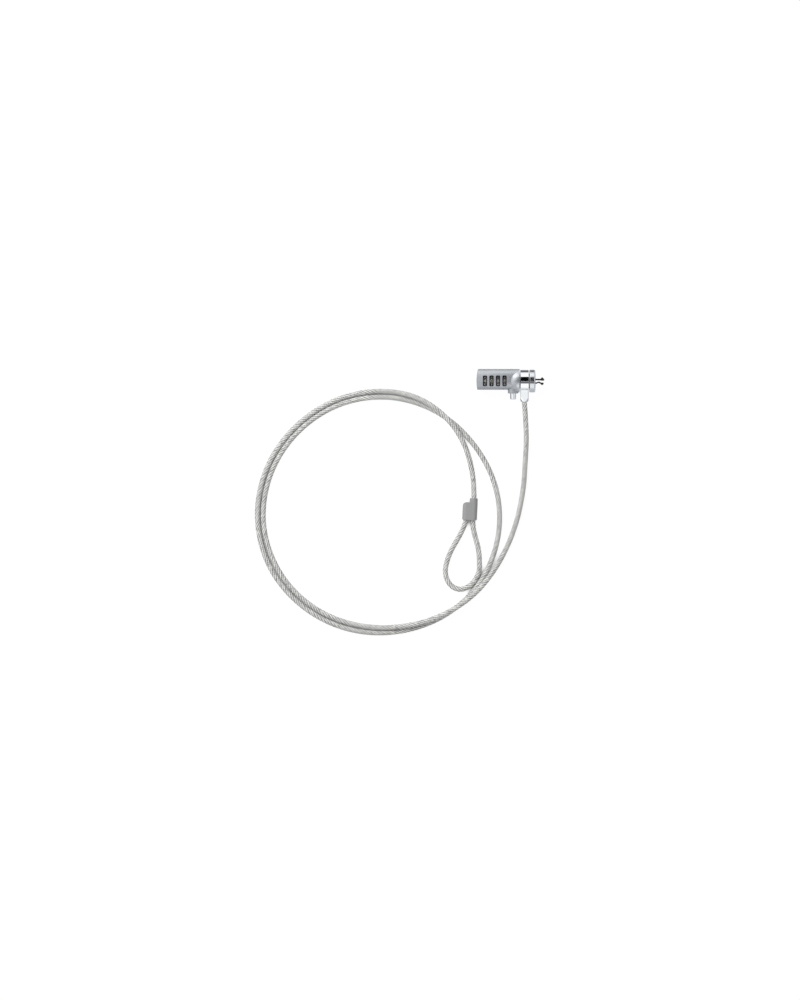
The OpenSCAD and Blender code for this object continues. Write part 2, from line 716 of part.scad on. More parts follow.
module channels() {
    for (s = [-1, 1]) translate([s * channel_gap / 2, -1, 0]) rotate([-90, 0, 0])
        cylinder(r = cable_r, h = s > 0 ? big : cover_l - cover_end + 1);
}

// The cover from above, without its neck: small corners at the loop and a round shoulder beside the neck.
module cover_outline() {
    half = cover_w / 2;
    small = cover_corner;
    large = cover_shoulder;
    translate([-half, small]) square([cover_w, cover_l - large - small]);
    translate([small - half, 0]) square([cover_w - 2 * small, cover_l - large]);
    translate([large - half, small]) square([cover_w - large, cover_l - small]);
    for (s = [-1, 1]) translate([s * (half - small), small]) circle(r = small);
    translate([large - half, cover_l - large]) circle(r = large);
}

module loop_crimp() {
    color("silver") at_crimp() difference() {
        round_sided(crimp_w, crimp_t, crimp_l, cover_end);
        channels();
    }
}

module loop_cover() {
    color("darkgray") at_crimp() difference() {
        union() {
            intersection() {
                round_sided(cover_w, cover_t, cover_l, 0);
                plate(2 * cover_t) cover_outline();
            }
            translate([channel_gap / 2, cover_l / 2, 0]) rotate([-90, 0, 0])
                cylinder(r = cover_t / 2, h = cover_l / 2 + cover_neck_l);
        }
        round_sided(crimp_w + 2 * fixed, crimp_t + 2 * fixed, crimp_l + 2 * fixed, cover_end - fixed);
        channels();
    }
}

housing();
end_cap();
roll_pins();
reset_screw();
dial(0);  // dial_1
dial(1);  // dial_2
dial(2);  // dial_3
dial(3);  // dial_4
sleeve(0);  // sleeve_1
sleeve(1);  // sleeve_2
sleeve(2);  // sleeve_3
sleeve(3);  // sleeve_4
dial_spacers();
detent_spring();
spindle();
spreader();
return_spring();
push_button();
cam_pin();
head();
claw_upper();
claw_lower();
claw_pins();
swivel_ring();
cable_stop();
cable();
loop_crimp();
loop_cover();
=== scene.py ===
"""Looks of the laptop cable lock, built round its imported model, in metres and in the model's own frame."""
import math

import bmesh
import bpy
import numpy as np
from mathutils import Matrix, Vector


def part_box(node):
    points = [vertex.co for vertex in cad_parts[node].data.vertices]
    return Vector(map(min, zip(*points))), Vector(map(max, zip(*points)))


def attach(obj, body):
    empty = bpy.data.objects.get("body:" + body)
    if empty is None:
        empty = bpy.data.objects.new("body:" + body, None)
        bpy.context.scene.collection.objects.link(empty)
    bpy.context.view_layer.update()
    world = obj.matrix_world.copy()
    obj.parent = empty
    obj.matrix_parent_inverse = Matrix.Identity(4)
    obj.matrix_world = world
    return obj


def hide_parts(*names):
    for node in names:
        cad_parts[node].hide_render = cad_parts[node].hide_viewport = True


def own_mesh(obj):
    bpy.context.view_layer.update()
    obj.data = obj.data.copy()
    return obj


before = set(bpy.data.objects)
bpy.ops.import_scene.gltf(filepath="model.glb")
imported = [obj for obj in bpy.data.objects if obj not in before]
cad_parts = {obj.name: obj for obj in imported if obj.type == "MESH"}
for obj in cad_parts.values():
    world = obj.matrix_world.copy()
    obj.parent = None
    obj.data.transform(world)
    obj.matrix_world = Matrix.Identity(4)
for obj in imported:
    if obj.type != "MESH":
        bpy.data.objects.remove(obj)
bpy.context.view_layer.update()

# ---- Camera --------------------------------------------------------------------------------
# A long lens looks straight down on the table. The lock is at the upper right of its view.

VIEW_X, VIEW_Y, VIEW_Z = -0.0926, -0.0962, 0.004
VIEW_SIDE = 0.84
LENS, SENSOR = 200.0, 36.0

camera = bpy.data.objects.new("camera", bpy.data.cameras.new("camera"))
camera.data.lens = LENS
camera.data.sensor_width = SENSOR
camera.data.clip_end = 20.0
camera.location = (VIEW_X, VIEW_Y, VIEW_Z + VIEW_SIDE * LENS / SENSOR)
bpy.context.scene.collection.objects.link(camera)
bpy.context.scene.camera = camera
bpy.context.scene.view_settings.view_transform = "Standard"

# ---- Cable ---------------------------------------------------------------------------------
# Six right-hand strands of galvanised steel wire in a clear vinyl coat, 4.4 mm over all and 1.51 m long.
# One end is crimped in the ring's lug, and the other turns back through a crimp and makes the loop.

CABLE_R = 0.0022
STRANDS = 6
STRAND_LAY = 0.0190
STRAND_RELIEF = 0.00012
CABLE_STEP = 0.0010
CABLE_SIDES = 48
SPAN_STEPS = 100
ROUTE_MM = [
    (11.8, -3, 9.5), (11.8, -14, 9.5), (12.6, -26, 9), (13.4, -44, 6.6), (12.6, -64, 4), (10.8, -87.2, 2.4),
    (5.1, -114.7, 2.2), (-5.1, -140.5, 2.6), (-15.3, -157.6, 4.4), (-27.5, -172.3, 6.2), (-45.4, -186.4, 7),
    (-67.5, -196.9, 6.6), (-92.4, -202.5, 5.2), (-122.6, -202.3, 2.9), (-159.9, -189.7, 2.2),
    (-191.7, -160.1, 2.2), (-207, -118.8, 2.2), (-201.5, -75.1, 2.2), (-177.8, -38.5, 2.2),
    (-141.7, -15.4, 2.2), (-98, -10.3, 2.2), (-60.4, -22.9, 2.2), (-30.6, -49.7, 2.2), (-11.5, -88.7, 2.2),
    (-9.5, -121.7, 2.2), (-16.1, -147.5, 2.2), (-27.9, -168.9, 2.2), (-54.7, -192.8, 2.2),
    (-92.7, -206.45, 2.2), (-135.9, -204.6, 2.2), (-175, -185, 2.2), (-202.7, -151, 2.2),
    (-212.5, -108.7, 2.2), (-202.8, -65.6, 2.2), (-176.7, -31.2, 2.2), (-138.8, -9.5, 2.2), (-103.6, -5, 2.4),
    (-80.2, -9.6, 4.6), (-61.8, -20.1, 6.7), (-48.6, -33.2, 6.8), (-38.5, -50.1, 4.6), (-31.9, -73.6, 3.3),
    (-30.46, -93.2, 3.3), (-31.46, -113.2, 3.3), (-31, -120.2, 2.7), (-29.2, -127.9, 2.2),
    (-26.9, -137, 2.2), (-25.9, -147.8, 2.2), (-26.4, -156.6, 2.2), (-29.3, -163, 2.2), (-34.6, -168.5, 2.2),
    (-41.4, -171.2, 2.2), (-47.6, -169.6, 2.2), (-52.2, -164.8, 2.2), (-54.5, -157, 2.2),
    (-53.4, -148.8, 2.2), (-49.6, -138.6, 2.2), (-44.2, -129, 2.2), (-39.6, -120, 2.7),
    (-37.05, -112.92, 3.3), (-36.45, -100.94, 3.3),
]


def linear(colour):
    """Linear RGBA of an sRGB hex colour."""
    parts = np.array([int(colour[k:k + 2], 16) / 255 for k in (1, 3, 5)])
    parts = np.where(parts <= 0.04045, parts / 12.92, ((parts + 0.055) / 1.055) ** 2.4)
    return (*parts, 1.0)


def add(tree, kind, settings=(), **links):
    """Adds a shader node. Settings are attributes, inputs by name or number, or a ramp's stops. Links name an
    input, or give its number after an underscore."""
    node = tree.nodes.new(kind)
    for key, value in dict(settings).items():
        if key == "stops":
            elements = node.color_ramp.elements
            for k, (place, colour) in enumerate(value):
                element = elements[k] if k < 2 else elements.new(place)
                element.position = place
                element.color = linear(colour)
        elif isinstance(key, str) and hasattr(node, key):
            setattr(node, key, value)
        else:
            node.inputs[key].default_value = value
    for key, source in links.items():
        target = node.inputs[int(key[1:])] if key[0] == "_" else node.inputs[key.replace("_", " ")]
        tree.links.new(source, target)
    return node


def finish_of(name, **values):
    """A new material with a Principled shader, whose sockets take the values: (material, tree, shader)."""
    material = bpy.data.materials.new(name)
    material.use_nodes = True
    shader = material.node_tree.nodes["Principled BSDF"]
    for key, value in values.items():
        shader.inputs[key.replace("_", " ")].default_value = value
    return material, material.node_tree, shader


def smooth_line(points, step):
    """Points a step apart on a smooth line through the given ones: the tangent at a point is the sum of its
    two chords' directions, each times the other chord's length, and a cubic joins each two neighbours."""
    chords = np.diff(points, axis=0)
    spans = np.linalg.norm(chords, axis=1, keepdims=True)
    slopes = chords / spans
    tangents = np.vstack([slopes[:1], slopes[:-1] * spans[1:] + slopes[1:] * spans[:-1], slopes[-1:]])
    tangents /= np.linalg.norm(tangents, axis=1, keepdims=True)
    u = np.linspace(0, 1, SPAN_STEPS, endpoint=False)[None, :, None]
    a, b = points[:-1, None], points[1:, None]
    ta, tb = (tangents[:-1] * spans)[:, None], (tangents[1:] * spans)[:, None]
    cubic = (2 * u**3 - 3 * u**2 + 1) * a + (u**3 - 2 * u**2 + u) * ta
    cubic = cubic + (3 * u**2 - 2 * u**3) * b + (u**3 - u**2) * tb
    dense = np.vstack([cubic.reshape(-1, 3), points[-1:]])
    dense[:, 2] = np.maximum(dense[:, 2], CABLE_R)
    along = np.concatenate([[0], np.cumsum(np.linalg.norm(np.diff(dense, axis=0), axis=1))])
    s = np.linspace(0, along[-1], int(along[-1] / step) + 1)
    return s, np.stack([np.interp(s, along, dense[:, k]) for k in range(3)], axis=1)


def closed_tube(name, rings, u, v):
    """A tube through rings of points (rings x sides x 3), closed by a flat cap at each end. Its UV map holds
    u, a value for each ring, and v, a value for each side and one more where the ring closes."""
    count, sides, _ = rings.shape
    i, j = np.meshgrid(np.arange(count - 1), np.arange(sides), indexing="ij")
    right = (j + 1) % sides
    here, ahead = i * sides, (i + 1) * sides
    quads = np.stack([here + j, here + right, ahead + right, ahead + j], axis=-1)
    caps = [list(range(sides - 1, -1, -1)), list(range((count - 1) * sides, count * sides))]
    mesh = bpy.data.meshes.new(name)
    mesh.from_pydata(rings.reshape(-1, 3), [], quads.reshape(-1, 4).tolist() + caps)
    uv = np.stack([
        np.stack([u[i], v[j]], -1), np.stack([u[i], v[j + 1]], -1),
        np.stack([u[i + 1], v[j + 1]], -1), np.stack([u[i + 1], v[j]], -1),
    ], axis=2).reshape(-1, 2)
    uv = np.vstack([uv, np.repeat([[u[0], 0.0]], sides, 0), np.repeat([[u[-1], 0.0]], sides, 0)])
    mesh.uv_layers.new(name="along").data.foreach_set("uv", uv.ravel())
    mesh.polygons.foreach_set("use_smooth", [True] * (len(mesh.polygons) - 2) + [False] * 2)
    piece = bpy.data.objects.new(name, mesh)
    bpy.context.scene.collection.objects.link(piece)
    return piece


def stranded_cable(line, s):
    """Rings round the line, each turned with the strands' lay. The radius falls from the full one, on the
    crown of each strand, by the relief in the valley beside it, as a raised cosine of six times the angle."""
    heading = np.gradient(line, axis=0)
    heading /= np.linalg.norm(heading, axis=1, keepdims=True)
    side = np.cross([0.0, 0.0, 1.0], heading)
    side /= np.linalg.norm(side, axis=1, keepdims=True)
    up = np.cross(heading, side)
    around = np.arange(CABLE_SIDES) / CABLE_SIDES * 2 * np.pi
    angle = around[None, :] + (s / STRAND_LAY * 2 * np.pi)[:, None]
    radius = CABLE_R - STRAND_RELIEF * (1 - np.cos(STRANDS * around)) / 2
    out = np.cos(angle)[..., None] * side[:, None] + np.sin(angle)[..., None] * up[:, None]
    return line[:, None] + radius[None, :, None] * out


s, cable_line = smooth_line(np.array(ROUTE_MM) / 1000, CABLE_STEP)
round_share = np.arange(CABLE_SIDES + 1) / CABLE_SIDES
cable = closed_tube("stranded_cable", stranded_cable(cable_line, s), s, round_share)

# Clear vinyl over galvanised wire: grey-white crowns, with painted shade in the valleys between the strands,
# and fine wires that cross them. The coat's gloss is broad, as on soft vinyl. The wires are drawn 1.2 mm
# wide, so that they show.
# Where the coat doesn't wet the wires, a strand has dull and bright streaks, some 4 mm long.
WIRE_PITCH = 0.0012
STREAK = 0.004
STREAK_CELLS = 1.4
# The coat's tone is the sum of crowns, wires and streaks, each times its share, and of one even share.
CROWN_SHARE, WIRE_SHARE, STREAK_SHARE, EVEN_SHARE = 0.34, 0.14, 1.45, -0.20
coat, tree, shader = finish_of("clear_vinyl_over_wire", Roughness=0.5, IOR=1.5)
shader.inputs["Coat Weight"].default_value = 0.6
shader.inputs["Coat Roughness"].default_value = 0.25
uv = add(tree, "ShaderNodeUVMap", {"uv_map": "along"})
parts = add(tree, "ShaderNodeSeparateXYZ", Vector=uv.outputs[0])
strand = add(tree, "ShaderNodeMath", {"operation": "MULTIPLY", 1: STRANDS * 2 * math.pi}, _0=parts.outputs[1])
crown = add(tree, "ShaderNodeMath", {"operation": "COSINE"}, _0=strand.outputs[0])
lean = add(tree, "ShaderNodeMath", {"operation": "MULTIPLY", 1: 2 * math.pi / WIRE_PITCH},
           _0=parts.outputs[0])
across = add(tree, "ShaderNodeMath", {"operation": "ADD"}, _0=lean.outputs[0], _1=strand.outputs[0])
wire = add(tree, "ShaderNodeMath", {"operation": "COSINE"}, _0=across.outputs[0])
wire_low = add(tree, "ShaderNodeMath", {"operation": "MULTIPLY", 1: WIRE_SHARE}, _0=wire.outputs[0])
around = add(tree, "ShaderNodeMath", {"operation": "MULTIPLY", 1: 2 * math.pi}, _0=parts.outputs[1])
around_x = add(tree, "ShaderNodeMath", {"operation": "COSINE"}, _0=around.outputs[0])
around_y = add(tree, "ShaderNodeMath", {"operation": "SINE"}, _0=around.outputs[0])
along = add(tree, "ShaderNodeMath", {"operation": "MULTIPLY", 1: 1 / STREAK}, _0=parts.outputs[0])
spot = add(tree, "ShaderNodeCombineXYZ", X=around_x.outputs[0], Y=around_y.outputs[0], Z=along.outputs[0])
streak = add(tree, "ShaderNodeTexNoise", {"Scale": STREAK_CELLS, "Detail": 2.0}, Vector=spot.outputs[0])
# Painted shade: the crowns' cosine darkens the colour in the valleys between strands, and also shapes the
# bump.
level = add(tree, "ShaderNodeMath", {"operation": "MULTIPLY_ADD", 1: CROWN_SHARE, 2: EVEN_SHARE},
            _0=crown.outputs[0])
level = add(tree, "ShaderNodeMath", {"operation": "ADD"}, _0=level.outputs[0], _1=wire_low.outputs[0])
level = add(tree, "ShaderNodeMath", {"operation": "MULTIPLY_ADD", 1: STREAK_SHARE}, _0=streak.outputs[0],
            _2=level.outputs[0])
tint = add(tree, "ShaderNodeValToRGB", {"stops": [(0.0, "#6E6E6C"), (1.0, "#F3F3F0")]}, Fac=level.outputs[0])
tree.links.new(tint.outputs[0], shader.inputs["Base Color"])
bump = add(tree, "ShaderNodeBump", {"Strength": 0.5, "Distance": 0.00015}, Height=level.outputs[0])
tree.links.new(bump.outputs[0], shader.inputs["Normal"])
cable.data.materials.append(coat)

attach(cable, "cable_end")
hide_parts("cable")

# ---- Table and light -----------------------------------------------------------------------
# A white table top and white surroundings, with a soft lamp at the upper left. Mirrors see bands of light and
# dark round the lock, as between white soft boxes and dark boards. The table is paper white, and dark only in
# crevices, such as between two strands that lie side by side.

FLOOR_HALF = 4.0
FLOOR_GLOW = 0.9
FLOOR_WHITE = 1.06
CREVICE = 0.005
CREVICE_DARK, CREVICE_OPEN = 0.27, 0.47
floor_mesh = bpy.data.meshes.new("table_top")
corners = np.array([(-1, -1, 0), (1, -1, 0), (1, 1, 0), (-1, 1, 0)]) * FLOOR_HALF
floor_mesh.from_pydata(corners.tolist(), [], [(0, 1, 2, 3)])
floor = bpy.data.objects.new("table_top", floor_mesh)
bpy.context.scene.collection.objects.link(floor)
paper, tree, shader = finish_of("white_table", Base_Color=linear("#F4F4F4"), Roughness=0.9)
glow = add(tree, "ShaderNodeEmission", {"Color": (1, 1, 1, 1), "Strength": FLOOR_WHITE})
ray = add(tree, "ShaderNodeLightPath")
open_above = add(tree, "ShaderNodeAmbientOcclusion", {"samples": 16, "Distance": CREVICE})
lit = add(tree, "ShaderNodeMapRange", {1: CREVICE_DARK, 2: CREVICE_OPEN, 3: 0.0, 4: FLOOR_GLOW},
          _0=open_above.outputs["AO"])
share = add(tree, "ShaderNodeMath", {"operation": "MULTIPLY"}, _0=ray.outputs["Is Camera Ray"],
            _1=lit.outputs[0])
mixed = add(tree, "ShaderNodeMixShader", Fac=share.outputs[0], _1=shader.outputs[0], _2=glow.outputs[0])
tree.links.new(mixed.outputs[0], tree.nodes["Material Output"].inputs[0])
floor_mesh.materials.append(paper)
floor.visible_glossy = False

FILL = 0.50
# Tone that a mirror sees straight across the lock, by the angle from straight up towards the far side.
BOARDS_LEVEL = 1.06
BOARDS = [
    (-180, "#A6A8AA"), (-150, "#B0B2B4"), (-128, "#C8CACC"), (-113, "#BEC0C2"), (-96, "#C8CACC"),
    (-82, "#DCDEE0"), (-66, "#FFFFFF"), (-30, "#FFFFFF"), (-16, "#F0F2F4"), (4, "#F0F2F4"), (20, "#FFFFFF"),
    (76, "#FFFFFF"), (92, "#F4F4F4"), (104, "#8A8C8E"), (117, "#303234"), (126, "#808284"), (150, "#A0A2A4"),
    (180, "#A6A8AA"),
]
# Tone to either side of that line, by how nearly a direction points to the soft box at the upper left.
BOX_AT = (-0.46, 0.73, 0.51)
BOX_LEVEL = 1.8
BOX = [
    (0.0, "#9FA1A3"), (0.3, "#9FA1A3"), (0.5, "#909294"), (0.6, "#909294"), (0.755, "#A0A2A4"),
    (0.9, "#D6D8DA"), (0.95, "#FAFAFA"), (1.0, "#FFFFFF"),
]
# Tone to the far left and right, by height from straight down to straight up.
SIDES = [
    (0.0, "#707274"), (0.40, "#7C7E80"), (0.50, "#4A4C4E"), (0.58, "#D8DADC"), (0.70, "#F0F2F4"),
    (1.0, "#F0F2F4"),
]
# How far a direction points sideways says which tone it meets. The first fades into the second over the first
# of these spans, and the second into the third over the other.
OFF_LINE = (0.08, 0.20)
TO_SIDE = (0.7, 0.85)
world = bpy.data.worlds.new("studio")
bpy.context.scene.world = world
world.cycles.sampling_method = "NONE"
world.use_nodes = True
tree = world.node_tree
tree.nodes.clear()
place = add(tree, "ShaderNodeTexCoord")
parts = add(tree, "ShaderNodeSeparateXYZ", Vector=place.outputs["Generated"])
turn = add(tree, "ShaderNodeMath", {"operation": "ARCTAN2"}, _0=parts.outputs[1], _1=parts.outputs[2])
share = add(tree, "ShaderNodeMath", {"operation": "MULTIPLY_ADD", 1: 0.5 / math.pi, 2: 0.5},
            _0=turn.outputs[0])
boards = add(tree, "ShaderNodeValToRGB", {"stops": [(0.5 + a / 360, c) for a, c in BOARDS]},
             Fac=share.outputs[0])
boards = add(tree, "ShaderNodeBackground", {"Strength": BOARDS_LEVEL}, Color=boards.outputs[0])
towards = add(tree, "ShaderNodeVectorMath", {"operation": "DOT_PRODUCT", 1: BOX_AT},
              _0=place.outputs["Generated"])
towards = add(tree, "ShaderNodeMath", {"operation": "MULTIPLY_ADD", 1: 0.5, 2: 0.5},
              _0=towards.outputs["Value"])
box = add(tree, "ShaderNodeValToRGB", {"stops": BOX}, Fac=towards.outputs[0])
box = add(tree, "ShaderNodeBackground", {"Strength": BOX_LEVEL}, Color=box.outputs[0])
height = add(tree, "ShaderNodeMath", {"operation": "MULTIPLY_ADD", 1: 0.5, 2: 0.5}, _0=parts.outputs[2])
sides = add(tree, "ShaderNodeValToRGB", {"stops": SIDES}, Fac=height.outputs[0])
sides = add(tree, "ShaderNodeBackground", {"Strength": 1.0}, Color=sides.outputs[0])
sideways = add(tree, "ShaderNodeMath", {"operation": "ABSOLUTE"}, _0=parts.outputs[0])
off_line = add(tree, "ShaderNodeMapRange", {1: OFF_LINE[0], 2: OFF_LINE[1]}, _0=sideways.outputs[0])
to_side = add(tree, "ShaderNodeMapRange", {1: TO_SIDE[0], 2: TO_SIDE[1]}, _0=sideways.outputs[0])
gloss = add(tree, "ShaderNodeMixShader", Fac=off_line.outputs[0], _1=boards.outputs[0], _2=box.outputs[0])
gloss = add(tree, "ShaderNodeMixShader", Fac=to_side.outputs[0], _1=gloss.outputs[0], _2=sides.outputs[0])
rays = add(tree, "ShaderNodeLightPath")
seen = add(tree, "ShaderNodeBackground", {"Color": (1, 1, 1, 1), "Strength": 1.0})
fill = add(tree, "ShaderNodeBackground", {"Color": (1, 1, 1, 1), "Strength": FILL})
soft = add(tree, "ShaderNodeMixShader", Fac=rays.outputs["Is Glossy Ray"], _1=fill.outputs[0],
           _2=gloss.outputs[0])
direct = add(tree, "ShaderNodeMath", {"operation": "MAXIMUM"}, _0=rays.outputs["Is Camera Ray"],
             _1=rays.outputs["Is Transmission Ray"])
every = add(tree, "ShaderNodeMixShader", Fac=direct.outputs[0], _1=soft.outputs[0], _2=seen.outputs[0])
add(tree, "ShaderNodeOutputWorld", Surface=every.outputs[0])

LAMP_AT = (-1.3, 1.2, 1.6)
LAMP_SIZE, LAMP_WATTS = 1.2, 40.0
lamp = bpy.data.objects.new("soft_lamp", bpy.data.lights.new("soft_lamp", "AREA"))
lamp.data.shape = "DISK"
lamp.data.size = LAMP_SIZE
lamp.data.energy = LAMP_WATTS
lamp.location = LAMP_AT
beam = np.array([VIEW_X, VIEW_Y, 0]) - np.array(LAMP_AT)
lamp.rotation_euler = (math.acos(-beam[2] / np.linalg.norm(beam)), 0, math.atan2(-beam[0], beam[1]))
bpy.context.scene.collection.objects.link(lamp)
lamp.visible_glossy = False

# Cards that only mirrors see. Over the ring hang a black one, high up, and a grey one, low over its near
# side. Over the housing hangs a gel that darkens from left to right, and a small white card hangs low before
# the dome.
CARD_GLOW = 1.6
for name, colour, (x0, x1), (y0, y1), z, (thin, thick) in (
    ("black_card", "#060606", (0.005, 0.028), (0.0010, 0.0460), 0.060, (1.0, 1.0)),
    ("grey_card", "#5A5A5C", (0.0075, 0.026), (-0.0045, 0.0022), 0.030, (1.0, 1.0)),
    ("dusk_gel", "#101214", (-0.036, 0.0080), (-0.0065, 0.0300), 0.045, (0.0, 0.95)),
    ("white_card", "#FFFFFF", (-0.0005, 0.0080), (-0.0260, -0.0125), 0.032, (1.0, 1.0)),
):
    card_mesh = bpy.data.meshes.new(name)
    card_mesh.from_pydata([(x0, y0, z), (x1, y0, z), (x1, y1, z), (x0, y1, z)], [], [(0, 1, 2, 3)])
    card = bpy.data.objects.new(name, card_mesh)
    bpy.context.scene.collection.objects.link(card)
    board, tree, shader = finish_of(name, Base_Color=linear("#000000"), Roughness=1.0)
    shader.inputs["Specular IOR Level"].default_value = 0.0
    shader.inputs["Emission Color"].default_value = linear(colour)
    shader.inputs["Emission Strength"].default_value = CARD_GLOW
    place = add(tree, "ShaderNodeTexCoord")
    parts = add(tree, "ShaderNodeSeparateXYZ", Vector=place.outputs["Object"])
    cover = add(tree, "ShaderNodeMapRange", {1: x0, 2: x1, 3: thin, 4: thick}, _0=parts.outputs[0])
    tree.links.new(cover.outputs[0], shader.inputs["Alpha"])
    card_mesh.materials.append(board)
    for kind in ("camera", "diffuse", "transmission", "volume_scatter", "shadow"):
        setattr(card, "visible_" + kind, False)

# ---- Housing and end cap -------------------------------------------------------------------
# The housing is a zinc die casting with four windows, a domed shoulder and the boss of the button. The end
# cap closes it. Both are tumbled, then sprayed with a fine silver lacquer, so their edges are soft.

# The dome, the dials, the head and the ring share one axis, which runs along X.
AXIS_Y, AXIS_Z = 0.0036, 0.0095
HOUSING_EDGE = 0.00025
CAP_EDGE = 0.00060
# Corners this near to each other are one, and facets within this angle, in degrees, are one flat.
TOUCHING = 2e-6
NEARLY_FLAT = 0.6


def rounded(node, body, width, angle=32, segments=3):
    """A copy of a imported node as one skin, with its flat facets joined and its sharp edges rounded."""
    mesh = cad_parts[node].data.copy()
    mesh.name = node + "_skin"
    mesh.materials.clear()
    work = bmesh.new()
    work.from_mesh(mesh)
    bmesh.ops.remove_doubles(work, verts=work.verts, dist=TOUCHING)
    bmesh.ops.dissolve_limit(work, angle_limit=math.radians(NEARLY_FLAT), verts=work.verts, edges=work.edges)
    for face in work.faces:
        face.smooth = True
    work.to_mesh(mesh)
    work.free()
    piece = bpy.data.objects.new(node + "_skin", mesh)
    bpy.context.scene.collection.objects.link(piece)
    edge = piece.modifiers.new("rounded_edges", "BEVEL")
    edge.width = width
    edge.segments = segments
    edge.limit_method = "ANGLE"
    edge.angle_limit = math.radians(angle)
    shade = piece.modifiers.new("even_shading", "WEIGHTED_NORMAL")
    shade.mode = "FACE_AREA"
    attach(piece, body)
    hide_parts(node)
    return piece


# Silver lacquer over die-cast zinc: fine flakes of aluminium in a clear binder, which scatter the light
# softly and glitter a little, with clouds of 11 mm from the spraying. The flakes are drawn 0.12 mm across, as
# coarse as they need to be to show. The domed shoulder is buffed, so it shines more sharply, and its colour
# is painted lighter, as a painted highlight.
FLAKE = 0.00012
SPRAY_CLOUD = 1 / 90
DOME_AT, DOME_R, DOME_SLACK = (0.0068, AXIS_Y, AXIS_Z), 0.0095, 0.0001
LACQUER_METAL, BUFFED_METAL = 0.55, 0.80
BUFFED = -0.08
silver, tree, shader = finish_of("silver_lacquer_on_zinc", Metallic=LACQUER_METAL, Roughness=0.40, IOR=1.5)
place = add(tree, "ShaderNodeTexCoord")
flakes = add(tree, "ShaderNodeTexVoronoi", {"Scale": 1 / FLAKE}, Vector=place.outputs["Object"])
cloud = add(tree, "ShaderNodeTexNoise", {"Scale": 1 / SPRAY_CLOUD, "Detail": 2.0},
            Vector=place.outputs["Object"])
blend = add(tree, "ShaderNodeMath", {"operation": "MULTIPLY_ADD", 1: 0.5}, _0=flakes.outputs[0],
            _2=cloud.outputs[0])
tint = add(tree, "ShaderNodeValToRGB", {"stops": [(0.3, "#B0B5BA"), (1.0, "#C2C6CB")]}, Fac=blend.outputs[0])
from_dome = add(tree, "ShaderNodeVectorMath", {"operation": "DISTANCE", 1: DOME_AT},
                _0=place.outputs["Object"])
dome_highlight_mask = add(tree, "ShaderNodeMath", {"operation": "COMPARE", 1: DOME_R, 2: DOME_SLACK},
              _0=from_dome.outputs["Value"])
# Painted highlight: the dome's colour is a lighter silver than the rest of the lacquer.
colour = add(tree, "ShaderNodeMixRGB", {"Color2": linear("#D2D5D9")}, Fac=dome_highlight_mask.outputs[0],
             Color1=tint.outputs[0])
tree.links.new(colour.outputs[0], shader.inputs["Base Color"])
metal = add(tree, "ShaderNodeMapRange", {3: LACQUER_METAL, 4: BUFFED_METAL}, _0=dome_highlight_mask.outputs[0])
tree.links.new(metal.outputs[0], shader.inputs["Metallic"])
rough = add(tree, "ShaderNodeMapRange", {1: 0.3, 2: 0.7, 3: 0.38, 4: 0.44}, _0=cloud.outputs[0])
rough = add(tree, "ShaderNodeMath", {"operation": "MULTIPLY_ADD", 1: BUFFED}, _0=dome_highlight_mask.outputs[0],
            _2=rough.outputs[0])
tree.links.new(rough.outputs[0], shader.inputs["Roughness"])
bump = add(tree, "ShaderNodeBump", {"Strength": 0.12, "Distance": 0.00002}, Height=flakes.outputs[0])
tree.links.new(bump.outputs[0], shader.inputs["Normal"])

for name, width in (("housing", HOUSING_EDGE), ("end_cap", CAP_EDGE)):
    skin = rounded(name, "lock_body", width)
    skin.data.materials.append(silver)
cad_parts["housing"].data.materials[0] = silver
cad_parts["end_cap"].data.materials[0] = silver

# ---- Dials ---------------------------------------------------------------------------------
# Four number wheels of black moulded plastic with ten flats and a finger groove between each two. The digits
# are hot-stamped in silver foil. At rest they read 4 0 8 8.

DIGITS = 10
DIAL_R = 0.0062
DIAL_FLAT = DIAL_R * math.cos(math.pi / DIGITS)
DIAL_X, DIAL_PITCH = -0.021375, 0.00545
DIAL_EDGE = 0.00012
SHOWN = (4, 0, 8, 8)
# Blender's own digits are this share of the size that is set for its text.
DIGIT_TALL, TALL_SHARE = 0.0026, 0.70
FOIL = 0.00002

# Black ABS, moulded with a fine grain of 0.15 mm, which breaks its gloss up.
GRAIN = 0.00015
plastic, tree, shader = finish_of("black_moulded_abs", Roughness=0.34, IOR=1.53)
place = add(tree, "ShaderNodeTexCoord")
grain = add(tree, "ShaderNodeTexNoise", {"Scale": 1 / GRAIN, "Detail": 2.0}, Vector=place.outputs["Object"])
tint = add(tree, "ShaderNodeValToRGB", {"stops": [(0.3, "#302D2A"), (0.7, "#44403C")]}, Fac=grain.outputs[0])
tree.links.new(tint.outputs[0], shader.inputs["Base Color"])
bump = add(tree, "ShaderNodeBump", {"Strength": 0.2, "Distance": 0.00002}, Height=grain.outputs[0])
tree.links.new(bump.outputs[0], shader.inputs["Normal"])

# Silver stamping foil: a thin metal skin with a soft mirror, a little duller in spots of 0.4 mm, where the
# stamp pressed less.
PRESSED_SPOT = 0.0004
foil, tree, shader = finish_of("silver_stamping_foil", Metallic=0.9, Roughness=0.32)
place = add(tree, "ShaderNodeTexCoord")
press = add(tree, "ShaderNodeTexNoise", {"Scale": 1 / PRESSED_SPOT, "Detail": 2.0},
            Vector=place.outputs["Object"])
tint = add(tree, "ShaderNodeValToRGB", {"stops": [(0.3, "#C4C4C2"), (0.7, "#DCDCDA")]}, Fac=press.outputs[0])
tree.links.new(tint.outputs[0], shader.inputs["Base Color"])


